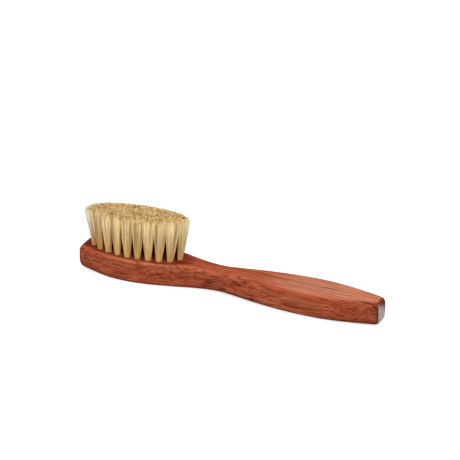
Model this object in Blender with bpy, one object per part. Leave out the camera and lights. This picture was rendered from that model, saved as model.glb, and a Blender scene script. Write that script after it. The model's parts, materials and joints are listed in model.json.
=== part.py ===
"""Shoe polish applicator brush: a one-piece hardwood block and the bristle tufts that are set in its blind holes.

Sizes are metres. The block runs along +X from its toe to its tail, lies on its flat back at Z = 0, and carries
its bristles upwards. The origin is on the back, under the middle of the block.
"""

import math

import bmesh
import bpy
from mathutils import Matrix, Vector

MM = 0.001

# Wooden block: overall sizes, then the plan outline. The head's places are measured from the toe, and the
# grip's widest place from the tail.
BLOCK_LENGTH = 170.0 * MM
BLOCK_THICKNESS = 12.7 * MM
SHOULDER_AT = 5.0 * MM
SHOULDER_WIDTH = 20.7 * MM
HEAD_WIDEST_AT = 28.4 * MM
HEAD_WIDTH = 26.8 * MM
NECK_AT = 79.4 * MM
NECK_WIDTH = 11.6 * MM
GRIP_TO_TAIL = 37.4 * MM
GRIP_WIDTH = 22.9 * MM
TAIL_WIDTH = 12.5 * MM

# Rounding of the block's long edges, which is larger on the back's side of the toe, and of the sawn tail
TOE_EDGE_RADIUS = 2.6 * MM
TOE_BACK_RADIUS = 5.1 * MM
HEAD_EDGE_RADIUS = 1.5 * MM
NECK_EDGE_RADIUS = 4.2 * MM
GRIP_EDGE_RADIUS = 2.6 * MM
TAIL_EDGE_RADIUS = 4.2 * MM
TAIL_ROUND = 2.0 * MM
TOE_ROUND_RUN = 25.0 * MM
TAIL_OVERRUN = 2.0 * MM

# Lengths of the outline's Bezier handles, as shares of the stretch that each one shapes. The waist's edge
# share is where along it the edge starts to widen, and the tail's room is a share of its rounding.
SHOULDER_ANGLE = math.radians(14.0)
NOSE_HANDLE_SHARES = (0.85, 0.92)
SIDE_HANDLE_SHARES = (0.30, 0.35)
WAIST_HANDLE_SHARES = (0.40, 0.485)
GRIP_HANDLE_SHARES = (0.15, 0.575)
WAIST_EDGE_SHARE = 0.5
TAIL_ROUND_ROOM_SHARE = 2.0

# Steps along each stretch of the outline, and round each edge
NOSE_STEPS = 9
SIDE_STEPS = 12
WAIST_STEPS = 20
GRIP_STEPS = 18
TAIL_STEPS = 14
EDGE_STEPS = 4
TAIL_ROUND_STEPS = 3

# Blind holes: an outer oval of holes, from near the toe to a distance short of the neck, round an inner oval
FIELD_START_AT = 6.1 * MM
FIELD_TO_NECK = 24.0 * MM
FIELD_SIDE_MARGIN = 4.7 * MM
ROW_STEP_LENGTHWISE = 5.9 * MM
ROW_STEP_ACROSS = 5.5 * MM
HOLE_DIAMETER = 3.8 * MM
HOLE_WALL = 2.04 * MM
HOLE_DEPTH = 8.0 * MM
HOLE_SIDES = 12
HOLE_OVERRUN = 1.0 * MM
INNER_SPREAD_SHARE = 0.88
OVAL_SAMPLES = 720

# Anchor: the flat wire staple that pins a folded tuft and bites into the wood on both sides of its hole
ANCHOR_BITE = 0.35 * MM
ANCHOR_THICKNESS = 0.4 * MM
ANCHOR_HEIGHT = 2.0 * MM

# Bristles: a bound root in the hole, then strands that spread to one trimmed oval. A strand's base is a share
# of its root's radius, and the oval's rim lies a spread past the middles of the outer tufts' tips.
FIT_CLEARANCE = 0.3 * MM
ROOT_RISE = 0.4 * MM
ROOT_SIDES = 10
STRANDS_PER_TUFT = 15
STRAND_SIDES = 3
STRAND_BASE_SHARE = 0.144
STRAND_RIM_SHARE = 0.15
STRAND_TIP_RADIUS = 0.42 * MM
STRAND_TIP_SHARE = 0.165
TRIM_HEIGHT = 22.2 * MM
TRIM_ANGLE = math.radians(3.0)
TRIM_SPREAD_LENGTHWISE = 3.95 * MM
TRIM_SPREAD_ACROSS = 2.0 * MM
TRIM_RAGGED = 0.7 * MM
LEAN_LENGTHWISE_SHARE = 1.08

# Edges sharper than this stay crisp in the shading
CREASE_ANGLE = math.radians(35.0)

# Finishes: base colour in linear light, roughness, metallic
WOOD_FINISH = ((0.352, 0.092, 0.044), 0.42, 0.0)
BRISTLE_FINISH = ((0.680, 0.515, 0.262), 0.60, 0.0)

GOLDEN_ANGLE = math.pi * (3.0 - math.sqrt(5.0))
GOLDEN_SHARE = (math.sqrt(5.0) - 1.0) / 2.0


def clear_scene():
    """Remove whatever the file holds, so that only the brush is in it."""
    for thing in list(bpy.data.objects):
        bpy.data.objects.remove(thing, do_unlink=True)


def make_material(name, finish):
    """A Principled material from a (colour, roughness, metallic) finish."""
    colour, roughness, metallic = finish
    made = bpy.data.materials.new(name)
    made.use_nodes = True
    shader = made.node_tree.nodes["Principled BSDF"]
    shader.inputs["Base Color"].default_value = (*colour, 1.0)
    shader.inputs["Roughness"].default_value = roughness
    shader.inputs["Metallic"].default_value = metallic
    made.diffuse_color = (*colour, 1.0)
    return made


def add_object(name, bm, material=None):
    """Turn a bmesh into a named object of the scene, with its faces turned outwards."""
    bmesh.ops.recalc_face_normals(bm, faces=bm.faces)
    mesh = bpy.data.meshes.new(name)
    bm.to_mesh(mesh)
    bm.free()
    made = bpy.data.objects.new(name, mesh)
    bpy.context.collection.objects.link(made)
    if material:
        mesh.materials.append(material)
    return made


def smooth_step(start, end, value):
    """Rise from 0 at start to 1 at end, level at both."""
    t = min(max((value - start) / (end - start), 0.0), 1.0)
    return t * t * (3.0 - 2.0 * t)


def bezier(start, start_handle, end_handle, end, steps):
    """Points of a cubic Bezier, without its first one."""
    points = []
    for step in range(1, steps + 1):
        t = step / steps
        points.append(
            start * (1.0 - t) ** 3
            + start_handle * 3.0 * t * (1.0 - t) ** 2
            + end_handle * 3.0 * t * t * (1.0 - t)
            + end * t**3
        )
    return points


def level_stretch(start, end, shares, steps):
    """A stretch of outline that leaves one widest or narrowest place level and meets the next one level."""
    run = end.x - start.x
    leaving = start + Vector((run * shares[0], 0.0))
    meeting = end - Vector((run * shares[1], 0.0))
    return bezier(start, leaving, meeting, end, steps)


def half_outline():
    """The block's plan outline on its +Y side, from the toe's tip to just past the tail."""
    toe = Vector((0.0, 0.0))
    shoulder = Vector((SHOULDER_AT, SHOULDER_WIDTH / 2))
    head = Vector((HEAD_WIDEST_AT, HEAD_WIDTH / 2))
    neck = Vector((NECK_AT, NECK_WIDTH / 2))
    grip = Vector((BLOCK_LENGTH - GRIP_TO_TAIL, GRIP_WIDTH / 2))
    along_side = Vector((math.cos(SHOULDER_ANGLE), math.sin(SHOULDER_ANGLE)))

    nose_out, nose_in = NOSE_HANDLE_SHARES
    side_out, side_in = SIDE_HANDLE_SHARES
    side_run = head.x - shoulder.x
    points = [toe]
    points += bezier(
        toe,
        Vector((0.0, shoulder.y * nose_out)),
        shoulder - along_side * shoulder.x * nose_in,
        shoulder,
        NOSE_STEPS,
    )
    points += bezier(
        shoulder,
        shoulder + along_side * side_run * side_out,
        head - Vector((side_run * side_in, 0.0)),
        head,
        SIDE_STEPS,
    )
    points += level_stretch(head, neck, WAIST_HANDLE_SHARES, WAIST_STEPS)
    points += level_stretch(neck, grip, GRIP_HANDLE_SHARES, GRIP_STEPS)

    # The grip runs on one arc that is level at its widest place. One wide step straddles the tail, to leave
    # its rounding room, and an overrun past it clears the rounded long edge.
    drop = (GRIP_WIDTH - TAIL_WIDTH) / 2
    turned = 2.0 * math.atan2(drop, GRIP_TO_TAIL)
    arc_radius = GRIP_TO_TAIL / math.sin(turned)
    clear = turned * TAIL_ROUND_ROOM_SHARE * TAIL_ROUND / GRIP_TO_TAIL
    turns = [(turned - clear) * step / TAIL_STEPS for step in range(1, TAIL_STEPS + 1)]
    turns.append(turned + clear)
    turns.append(turned + clear + (TAIL_EDGE_RADIUS + TAIL_OVERRUN) / arc_radius)
    for turn in turns:
        points.append(grip + Vector((math.sin(turn), math.cos(turn) - 1.0)) * arc_radius)
    return points


def edge_radius(toe_radius, along):
    """Radius of a long edge at a distance from the toe, from its radius at the toe."""
    waist_start = HEAD_WIDEST_AT + (NECK_AT - HEAD_WIDEST_AT) * WAIST_EDGE_SHARE
    grip_at = BLOCK_LENGTH - GRIP_TO_TAIL
    radius = toe_radius
    radius += (HEAD_EDGE_RADIUS - toe_radius) * smooth_step(0.0, TOE_ROUND_RUN, along)
    radius += (NECK_EDGE_RADIUS - HEAD_EDGE_RADIUS) * smooth_step(waist_start, NECK_AT, along)
    radius += (GRIP_EDGE_RADIUS - NECK_EDGE_RADIUS) * smooth_step(NECK_AT, grip_at, along)
    radius += (TAIL_EDGE_RADIUS - GRIP_EDGE_RADIUS) * smooth_step(grip_at, BLOCK_LENGTH, along)
    return radius


def block_rings():
    """Closed rings of points from the back's flat, round its edge, up the wall and round to the top's flat."""
    side = half_outline()
    loop = side + [Vector((point.x, -point.y)) for point in reversed(side[1:])]
    count = len(loop)
    outwards = []
    for index, point in enumerate(loop):
        along = loop[(index + 1) % count] - loop[index - 1]
        outwards.append(Vector((-along.y, along.x)).normalized())

    turns = [step / EDGE_STEPS * math.pi / 2 for step in range(EDGE_STEPS + 1)]
    rings = []
    for top, toe_radius in ((False, TOE_BACK_RADIUS), (True, TOE_EDGE_RADIUS)):
        for turn in reversed(turns) if top else turns:
            ring = []
            for point, outward in zip(loop, outwards):
                radius = edge_radius(toe_radius, point.x)
                place = point - outward * radius * (1.0 - math.sin(turn))
                rise = radius * (1.0 - math.cos(turn))
                height = BLOCK_THICKNESS - rise if top else rise
                ring.append(Vector((place.x - BLOCK_LENGTH / 2, place.y, height)))
            rings.append(ring)
    return rings


def make_block(material):
    """The one-piece block: head, neck and grip with rounded long edges, and a sawn and eased tail."""
    bm = bmesh.new()
    rings = [[bm.verts.new(point) for point in ring] for ring in block_rings()]
    for lower, upper in zip(rings, rings[1:]):
        count = len(lower)
        for index in range(count):
            after = (index + 1) % count
            bm.faces.new((lower[index], lower[after], upper[after], upper[index]))
    bm.faces.new(rings[0])
    bm.faces.new(rings[-1])
    bmesh.ops.recalc_face_normals(bm, faces=bm.faces)

    tail = BLOCK_LENGTH / 2
    whole = list(bm.verts) + list(bm.edges) + list(bm.faces)
    cut = bmesh.ops.bisect_plane(
        bm, geom=whole, plane_co=(tail, 0.0, 0.0), plane_no=(1.0, 0.0, 0.0), clear_outer=True
    )
    rim = [part for part in cut["geom_cut"] if isinstance(part, bmesh.types.BMEdge)]
    bmesh.ops.edgeloop_fill(bm, edges=rim)
    bmesh.ops.bevel(
        bm,
        geom=rim,
        offset=TAIL_ROUND,
        offset_type="OFFSET",
        segments=TAIL_ROUND_STEPS,
        profile=0.5,
        affect="EDGES",
        clamp_overlap=True,
        material=-1,
    )
    return add_object("handle_block", bm, material)


def spaced_oval(half_length, half_width):
    """Places round an oval, one on its +X end and the rest at an even pitch along its edge."""
    corners = []
    for sample in range(OVAL_SAMPLES + 1):
        angle = math.tau * sample / OVAL_SAMPLES
        corners.append(Vector((half_length * math.cos(angle), half_width * math.sin(angle))))
    travelled = [0.0]
    for before, after in zip(corners, corners[1:]):
        travelled.append(travelled[-1] + (after - before).length)
    pitch = HOLE_DIAMETER + HOLE_WALL
    count = round(travelled[-1] / pitch)
    places = []
    sample = 0
    for index in range(count):
        target = travelled[-1] * index / count
        while travelled[sample + 1] < target:
            sample += 1
        share = (target - travelled[sample]) / (travelled[sample + 1] - travelled[sample])
        places.append(corners[sample].lerp(corners[sample + 1], share))
    return places


def inner_oval(half_length, half_width):
    """Places of the inner oval: one on each end, and pairs evenly stepped along its length between them.

    Where the head is too narrow for pairs, one row on the axis takes their place."""
    pitch = HOLE_DIAMETER + HOLE_WALL
    places = [Vector((-half_length, 0.0)), Vector((half_length, 0.0))]
    if half_width < pitch / 2:
        steps = round(2.0 * half_length / pitch)
        return places + [Vector((half_length * (2.0 * step / steps - 1.0), 0.0)) for step in range(1, steps)]
    pairs = round(2.0 * half_length * INNER_SPREAD_SHARE / pitch)
    for index in range(pairs):
        share = ((2 * index + 1) / pairs - 1.0) * INNER_SPREAD_SHARE
        across = half_width * math.sqrt(1.0 - share * share)
        places.append(Vector((half_length * share, across)))
        places.append(Vector((half_length * share, -across)))
    return places


def field_centre():
    """Middle of the field of holes, in the block's own frame."""
    return Vector(((FIELD_START_AT + NECK_AT - FIELD_TO_NECK - BLOCK_LENGTH) / 2, 0.0))


def field_half_size():
    """Half the length and half the width of the oval that the outer holes lie on."""
    return Vector(((NECK_AT - FIELD_TO_NECK - FIELD_START_AT) / 2, HEAD_WIDTH / 2 - FIELD_SIDE_MARGIN))


def tuft_places():
    """Each tuft's name and the place of its hole, in the block's own frame."""
    half_length, half_width = field_half_size()
    outer = spaced_oval(half_length, half_width)
    inner = inner_oval(half_length - ROW_STEP_LENGTHWISE, half_width - ROW_STEP_ACROSS)
    centre = field_centre()
    named = {}
    for index, place in enumerate(outer):
        named[f"tuft_outer_{index + 1:02d}"] = centre + place
    for index, place in enumerate(inner):
        named[f"tuft_inner_{index + 1:02d}"] = centre + place
    return named


def cut_with(block, name, bm):
    """Give the block a Boolean cut by a hidden cutter."""
    cutter = add_object(name, bm)
    cutter.hide_render = True
    cutter.display_type = "WIRE"
    cut = block.modifiers.new(name, "BOOLEAN")
    cut.operation = "DIFFERENCE"
    cut.solver = "EXACT"
    cut.object = cutter


def drill_holes(block, places):
    """Drill each tuft's blind hole, and the pocket that its anchor bites out of the wood at the bottom."""
    floor = BLOCK_THICKNESS - HOLE_DEPTH
    depth = HOLE_DEPTH + HOLE_OVERRUN
    drills = bmesh.new()
    for place in places:
        bmesh.ops.create_cone(
            drills,
            cap_ends=True,
            segments=HOLE_SIDES,
            radius1=HOLE_DIAMETER / 2,
            radius2=HOLE_DIAMETER / 2,
            depth=depth,
            matrix=Matrix.Translation((place.x, place.y, floor + depth / 2)),
        )
    cut_with(block, "hole_drills", drills)

    anchor = Vector((HOLE_DIAMETER + 2.0 * ANCHOR_BITE, ANCHOR_THICKNESS, ANCHOR_HEIGHT))
    pocket = anchor + Vector.Fill(3, 2.0 * FIT_CLEARANCE)
    middle = floor + FIT_CLEARANCE + anchor_lift() + ANCHOR_HEIGHT / 2
    pockets = bmesh.new()
    for place in places:
        size = Matrix.Diagonal((*pocket, 1.0))
        spot = Matrix.Translation((place.x, place.y, middle))
        bmesh.ops.create_cube(pockets, size=1.0, matrix=spot @ size)
    cut_with(block, "anchor_pockets", pockets)


def anchor_lift():
    """Height of the anchor's lower edge over the tuft's folded end, which wraps under it."""
    return HOLE_DIAMETER / 4


def lean(place):
    """Where a tuft that is rooted at a place reaches the trimmed face, seen from above."""
    away = place - field_centre()
    return place + Vector((away.x * (LEAN_LENGTHWISE_SHARE - 1.0), 0.0))


def trim_reach(tip, direction):
    """Distance from a tuft's tip to the trimmed oval's rim, along a direction."""
    field = field_half_size()
    half_length = field.x * LEAN_LENGTHWISE_SHARE + TRIM_SPREAD_LENGTHWISE
    half_width = field.y + TRIM_SPREAD_ACROSS
    away = tip - field_centre()
    from_centre = Vector((away.x / half_length, away.y / half_width))
    heading = Vector((direction.x / half_length, direction.y / half_width))
    a = heading.dot(heading)
    b = from_centre.dot(heading)
    c = from_centre.dot(from_centre) - 1.0
    return (-b + math.sqrt(max(b * b - a * c, 0.0))) / a


def spread_reach(tip, other_tips, direction):
    """How far a tuft's strands spread along a direction: to the rim, or halfway to a neighbour."""
    reach = trim_reach(tip, direction) - STRAND_TIP_RADIUS
    margin = STRAND_TIP_RADIUS + FIT_CLEARANCE / 2
    for other in other_tips:
        gap = other - tip
        facing = direction.dot(gap.normalized())
        if facing > 0.0:
            reach = min(reach, (gap.length / 2 - margin) / facing)
    return reach


def trimmed_height(place, step):
    """Height of a strand's end on the sloping trimmed face, with the small raggedness of cut bristle."""
    slope = (place.x - field_centre().x) * math.tan(TRIM_ANGLE)
    ragged = TRIM_RAGGED * ((step * GOLDEN_SHARE) % 1.0)
    return BLOCK_THICKNESS + TRIM_HEIGHT + slope - ragged


def ring_of(bm, centre, height, radius, sides, turn):
    """New vertices evenly round a level circle."""
    made = []
    for side in range(sides):
        angle = turn + math.tau * side / sides
        made.append(bm.verts.new((centre.x + radius * math.cos(angle), centre.y + radius * math.sin(angle), height)))
    return made


def ring_edges(bm, ring):
    """Edges that close a ring of vertices."""
    return [bm.edges.new((vertex, ring[index - 1])) for index, vertex in enumerate(ring)]


def strand_roots(place, root_radius, base_radius):
    """Bases of a tuft's strands, spread evenly by the golden angle: each one's place, direction and share."""
    inner_radius = root_radius * math.cos(math.pi / ROOT_SIDES)
    packed = inner_radius - base_radius * (1.0 + STRAND_RIM_SHARE)
    roots = []
    for strand in range(STRANDS_PER_TUFT):
        share = math.sqrt((strand + 0.5) / STRANDS_PER_TUFT)
        angle = strand * GOLDEN_ANGLE
        direction = Vector((math.cos(angle), math.sin(angle)))
        roots.append((place + direction * packed * share, direction, share))
    return roots


def make_tuft(name, place, places, material):
    """One tuft: the root folded round its anchor in the hole, and the strands fused to the root's top."""
    bm = bmesh.new()
    root_radius = HOLE_DIAMETER / 2 - FIT_CLEARANCE
    foot = BLOCK_THICKNESS - HOLE_DEPTH + FIT_CLEARANCE
    anchor_foot = foot + anchor_lift()
    levels = (foot, anchor_foot, anchor_foot + ANCHOR_HEIGHT, BLOCK_THICKNESS + ROOT_RISE)
    half_side = math.pi / ROOT_SIDES
    rings = [ring_of(bm, place, level, root_radius, ROOT_SIDES, half_side) for level in levels]
    bm.faces.new(rings[0])
    anchor_faces = []
    for level, (lower, upper) in enumerate(zip(rings, rings[1:])):
        for side in range(ROOT_SIDES):
            face = bm.faces.new((lower[side], lower[side - 1], upper[side - 1], upper[side]))
            if level == 1 and side in (0, ROOT_SIDES // 2):
                anchor_faces.append(face)

    # The anchor's two ends stand out of the root, each as thick as the flat wire
    side_width = 2.0 * root_radius * math.sin(half_side)
    rims = [edge for edge in bm.edges if edge.is_boundary]
    bmesh.ops.inset_individual(bm, faces=anchor_faces, thickness=(side_width - ANCHOR_THICKNESS) / 2)
    ends = bmesh.ops.extrude_discrete_faces(bm, faces=anchor_faces)["faces"]
    for face in ends:
        outward = 1.0 if face.calc_center_median().x > place.x else -1.0
        for vertex in face.verts:
            vertex.co.x = place.x + outward * (HOLE_DIAMETER / 2 + ANCHOR_BITE)

    # The root's top is filled round the strands' bases, and each base is drawn out into its strand
    top = levels[-1]
    bases = []
    outlines = list(rims)
    base_radius = root_radius * STRAND_BASE_SHARE
    roots = strand_roots(place, root_radius, base_radius)
    for root, direction, share in roots:
        turn = math.atan2(direction.y, direction.x)
        ring = ring_of(bm, root, top, base_radius, STRAND_SIDES, turn)
        outlines += ring_edges(bm, ring)
        bases.append(ring)
    bmesh.ops.triangle_fill(bm, use_beauty=True, edges=outlines)
    tip = lean(place)
    other_tips = [lean(other) for other in places if other is not place]
    reaches = [spread_reach(tip, other_tips, direction) for root, direction, share in roots]
    tip_radius = min(STRAND_TIP_RADIUS, STRAND_TIP_SHARE * min(reaches))
    for strand, (ring, (root, direction, share)) in enumerate(zip(bases, roots)):
        end = tip + direction * share * reaches[strand]
        height = trimmed_height(end, strand)
        drawn = bmesh.ops.extrude_discrete_faces(bm, faces=[bm.faces.new(ring)])["faces"][0]
        for vertex in drawn.verts:
            offset = (vertex.co.xy - root) * tip_radius / base_radius
            vertex.co = (end.x + offset.x, end.y + offset.y, height)
    return add_object(name, bm, material)


def shade_smooth(made):
    """Shade an object's round faces smooth and keep its crisp edges."""
    made.data.shade_smooth()
    made.data.set_sharp_from_angle(angle=CREASE_ANGLE)


def build_brush():
    """Model the whole brush."""
    clear_scene()
    wood = make_material("red_hardwood", WOOD_FINISH)
    bristle = make_material("pale_bristle", BRISTLE_FINISH)
    named = tuft_places()
    places = list(named.values())
    block = make_block(wood)
    drill_holes(block, places)
    shade_smooth(block)
    for name, place in named.items():
        shade_smooth(make_tuft(name, place, places, bristle))


build_brush()
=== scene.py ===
"""Looks of a shoe polish applicator brush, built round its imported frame.

The brush has one red hardwood block, 33 tufts of pale natural bristle in its blind holes, and the flat steel
wires that anchor the folded tufts. Lengths are metres in the frame's own axes: the block lies along +X with
its flat back at Z = 0, and the bristles point up.
"""

import json
import logging
import math
import random
from dataclasses import dataclass, field
from enum import Enum
from typing import Any

import bmesh
import bpy
from mathutils import Matrix, Vector, noise

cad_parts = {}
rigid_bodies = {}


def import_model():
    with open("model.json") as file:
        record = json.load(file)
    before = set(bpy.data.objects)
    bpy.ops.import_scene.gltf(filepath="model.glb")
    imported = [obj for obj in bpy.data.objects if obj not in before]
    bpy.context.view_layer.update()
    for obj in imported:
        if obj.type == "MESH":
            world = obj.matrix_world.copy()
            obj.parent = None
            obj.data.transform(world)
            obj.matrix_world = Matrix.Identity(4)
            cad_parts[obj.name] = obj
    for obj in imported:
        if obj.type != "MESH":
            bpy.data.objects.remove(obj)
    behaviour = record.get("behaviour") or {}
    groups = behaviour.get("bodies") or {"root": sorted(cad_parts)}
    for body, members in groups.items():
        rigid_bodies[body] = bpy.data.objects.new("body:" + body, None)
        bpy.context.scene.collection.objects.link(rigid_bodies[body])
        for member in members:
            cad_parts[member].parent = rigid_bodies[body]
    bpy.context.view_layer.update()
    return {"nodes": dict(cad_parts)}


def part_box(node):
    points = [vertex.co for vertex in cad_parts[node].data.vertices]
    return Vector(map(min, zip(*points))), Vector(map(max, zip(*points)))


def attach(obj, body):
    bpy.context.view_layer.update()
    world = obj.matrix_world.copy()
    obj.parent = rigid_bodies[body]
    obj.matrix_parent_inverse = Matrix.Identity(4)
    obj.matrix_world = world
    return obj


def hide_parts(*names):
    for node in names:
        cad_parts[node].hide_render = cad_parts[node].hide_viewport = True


MM = 0.001
BODY = "root"
BLOCK_NODE = "handle_block"
FOOT_SLACK = 0.01 * MM
MIDDLE = 0.5
WHITE = (1.0, 1.0, 1.0, 1.0)

Colour = tuple[float, float, float]
Sizes = tuple[float, float, float]
Span = tuple[float, float]

log = logging.getLogger("applicator_brush")


class Slot(Enum):
    """The record's material slots."""

    WOOD = "red_hardwood"
    BRISTLE = "pale_bristle"


class Row(Enum):
    """The two ovals that the tufts stand in, by the word in their nodes' names."""

    OUTER = "outer"
    INNER = "inner"


@dataclass(frozen=True)
class Figure:
    """One figure of a finish: a noise with its sizes along X, Y and Z, and how it shows.

    The span holds the values of the noise between which the figure sets in, and the share is how strongly it
    covers what lies under it.
    """

    sizes: Sizes
    span: Span = (0.0, 1.0)
    share: float = 1.0
    detail: float = 2.5
    roughness: float = 0.6


class Signal:
    """A value socket that takes part in Python arithmetic: each operator adds one Math node."""

    def __init__(self, graph: "NodeGraph", socket: bpy.types.NodeSocket) -> None:
        """Wrap an output socket of a graph."""
        self.graph = graph
        self.socket = socket

    def _math(self, operation: str, first: Any, second: Any) -> "Signal":
        """Add a Math node on two values and wrap its result."""
        node = self.graph.node("ShaderNodeMath", {"operation": operation}, {0: first, 1: second})
        return Signal(self.graph, node.outputs[0])

    def __add__(self, other: Any) -> "Signal":
        """Return self + other."""
        return self._math("ADD", self, other)

    def __radd__(self, other: Any) -> "Signal":
        """Return other + self."""
        return self._math("ADD", other, self)

    def __sub__(self, other: Any) -> "Signal":
        """Return self - other."""
        return self._math("SUBTRACT", self, other)

    def __rsub__(self, other: Any) -> "Signal":
        """Return other - self."""
        return self._math("SUBTRACT", other, self)

    def __mul__(self, other: Any) -> "Signal":
        """Return self * other."""
        return self._math("MULTIPLY", self, other)

    def __rmul__(self, other: Any) -> "Signal":
        """Return other * self."""
        return self._math("MULTIPLY", other, self)

    def __pow__(self, other: Any) -> "Signal":
        """Return self ** other."""
        return self._math("POWER", self, other)

    def at_least(self, other: Any) -> "Signal":
        """Return the larger of self and other."""
        return self._math("MAXIMUM", self, other)


class NodeGraph:
    """A node tree that is filled by one method, with short cuts for the nodes that every finish uses."""

    def __init__(self, tree: bpy.types.NodeTree) -> None:
        """Start on an emptied node tree."""
        tree.nodes.clear()
        self.tree = tree

    def node(self, kind: str, settings: dict[str, Any], inputs: dict[Any, Any]) -> bpy.types.Node:
        """Add a node.

        Args:
            kind: The node's type name.
            settings: Its properties, which are set before its sockets.
            inputs: Its sockets by name or index, each with a value, a socket or a Signal.

        Returns:
            The new node.
        """
        made = self.tree.nodes.new(kind)
        for name, value in settings.items():
            setattr(made, name, value)
        for key, value in inputs.items():
            if isinstance(value, Signal):
                value = value.socket
            if isinstance(value, bpy.types.NodeSocket):
                self.tree.links.new(value, made.inputs[key])
            else:
                made.inputs[key].default_value = value
        return made

    def object_place(self) -> bpy.types.NodeSocket:
        """Return the Object coordinates, in metres."""
        return self.node("ShaderNodeTexCoord", {}, {}).outputs["Object"]

    def axes(self, vector: bpy.types.NodeSocket) -> list[Signal]:
        """Return a vector's three parts."""
        parts = self.node("ShaderNodeSeparateXYZ", {}, {0: vector})
        return [Signal(self, output) for output in parts.outputs]

    def vector_math(self, operation: str, *vectors: Any) -> bpy.types.NodeSocket:
        """Return the result of a Vector Math node on sockets and plain vectors."""
        made = self.node("ShaderNodeVectorMath", {"operation": operation}, dict(enumerate(vectors)))
        return made.outputs[0]

    def noise(self, place: bpy.types.NodeSocket, figure: Figure) -> bpy.types.Node:
        """Add the noise of a figure.

        Args:
            place: The coordinates that it lies on, in metres.
            figure: Its sizes, detail and roughness.

        Returns:
            The Noise Texture node.
        """
        scale = tuple(1.0 / size for size in figure.sizes)
        stretched = self.node("ShaderNodeMapping", {}, {"Vector": place, "Scale": scale}).outputs[0]
        grade = {"Scale": 1.0, "Detail": figure.detail, "Roughness": figure.roughness}
        return self.node("ShaderNodeTexNoise", {}, {"Vector": stretched, **grade})

    def pattern(self, place: bpy.types.NodeSocket, figure: Figure) -> Signal:
        """Return the raw values of a figure's noise."""
        return Signal(self, self.noise(place, figure).outputs["Fac"])

    def shown(self, pattern: Signal, figure: Figure) -> Signal:
        """Return how strongly a figure shows, from the raw values of its noise."""
        return self.step(pattern, *figure.span) * figure.share

    def step(self, value: Any, start: float, end: float) -> Signal:
        """Make a smooth step.

        Args:
            value: The value that it follows.
            start: Where it leaves 0.
            end: Where it reaches 1.

        Returns:
            The step's height.
        """
        inputs = {"Value": value, "From Min": start, "From Max": end}
        node = self.node("ShaderNodeMapRange", {"interpolation_type": "SMOOTHSTEP"}, inputs)
        return Signal(self, node.outputs[0])

    def mixed(self, share: Any, first: Any, second: Any, blend: str = "MIX") -> bpy.types.NodeSocket:
        """Mix two colours.

        Args:
            share: How much the second one counts.
            first: The colour below, as a socket or as its three values.
            second: The colour above, likewise.
            blend: The Mix node's blend type.

        Returns:
            The mix's colour socket.
        """
        made = [(*each, 1.0) if isinstance(each, tuple) else each for each in (first, second)]
        settings = {"data_type": "RGBA", "blend_type": blend}
        return self.node("ShaderNodeMix", settings, {0: share, 6: made[0], 7: made[1]}).outputs[2]

    def surface(self, settings: dict[str, Any]) -> None:
        """Add the Principled shader with its sockets, and the material's output."""
        shader = self.node("ShaderNodeBsdfPrincipled", {}, settings)
        self.node("ShaderNodeOutputMaterial", {}, {"Surface": shader.outputs[0]})


def new_graph(name: str) -> tuple[bpy.types.Material, NodeGraph]:
    """Start a material.

    Args:
        name: The material's name.

    Returns:
        The empty material, and the graph that fills it.
    """
    material = bpy.data.materials.new(name)
    material.use_nodes = True
    return material, NodeGraph(material.node_tree)


@dataclass(frozen=True)
class Knot:
    """A small knot near the sawn tail, of which only the upper rings on the tail's side show.

    Its middle lies in from the tail and up from the back. The reach is where its rings fade out, and the
    side is how far past its middle they set in, up and towards the tail taken together.
    """

    inset: float = 2.0 * MM
    height: float = 9.5 * MM
    reach: Span = (4.2 * MM, 7.5 * MM)
    side: Span = (-0.8 * MM, 2.4 * MM)
    scale: float = 112.0
    waviness: float = 2.0
    detail: float = 2.0
    detail_scale: float = 2.5
    span: Span = (0.62, 0.96)
    share: float = 0.78

    def rings(self, graph: NodeGraph, grain: bpy.types.NodeSocket, tail: float) -> Signal:
        """Draw the knot's rings.

        Args:
            graph: The wood's graph.
            grain: The grain's coordinates.
            tail: The sawn tail's X.

        Returns:
            How strongly a ring shows.
        """
        around = graph.vector_math("SUBTRACT", grain, (tail - self.inset, 0.0, self.height))
        beside, _, above = graph.axes(around)
        faded = graph.step(beside * beside + above * above, *(reach**2 for reach in self.reach))
        near = (1.0 - faded) * graph.step(beside + above, *self.side)
        grade = {
            "Scale": self.scale,
            "Distortion": self.waviness,
            "Detail": self.detail,
            "Detail Scale": self.detail_scale,
        }
        wave = graph.node(
            "ShaderNodeTexWave",
            {"wave_type": "RINGS", "rings_direction": "Y"},
            {"Vector": around, **grade},
        )
        return graph.step(wave.outputs["Fac"], *self.span) * near * self.share


@dataclass
class WoodMasks:
    """Where on the block each change of its finish shows, from 0 to 1.

    Flat is the top and the back against the sides, and level is the top's plane alone. Some masks place
    painted light: a highlight on the head's top edges, a sheen on the grip's top, a reflection on the tail's
    end grain and shade among the tufts.
    """

    flat: Signal
    level: Signal
    under: Signal
    glossed_and_painted_sheen: Signal
    edge: Signal
    tufted: Signal
    swirling: Signal
    tailward: Signal
    sawn: Signal
    pale_end_and_painted_reflection: Signal


@dataclass
class WoodGrain:
    """The grain's wandering coordinates, and the patterns that colour shares with relief or roughness."""

    place: bpy.types.NodeSocket
    streaks: Signal
    fibres: Signal
    pores: Signal


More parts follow.
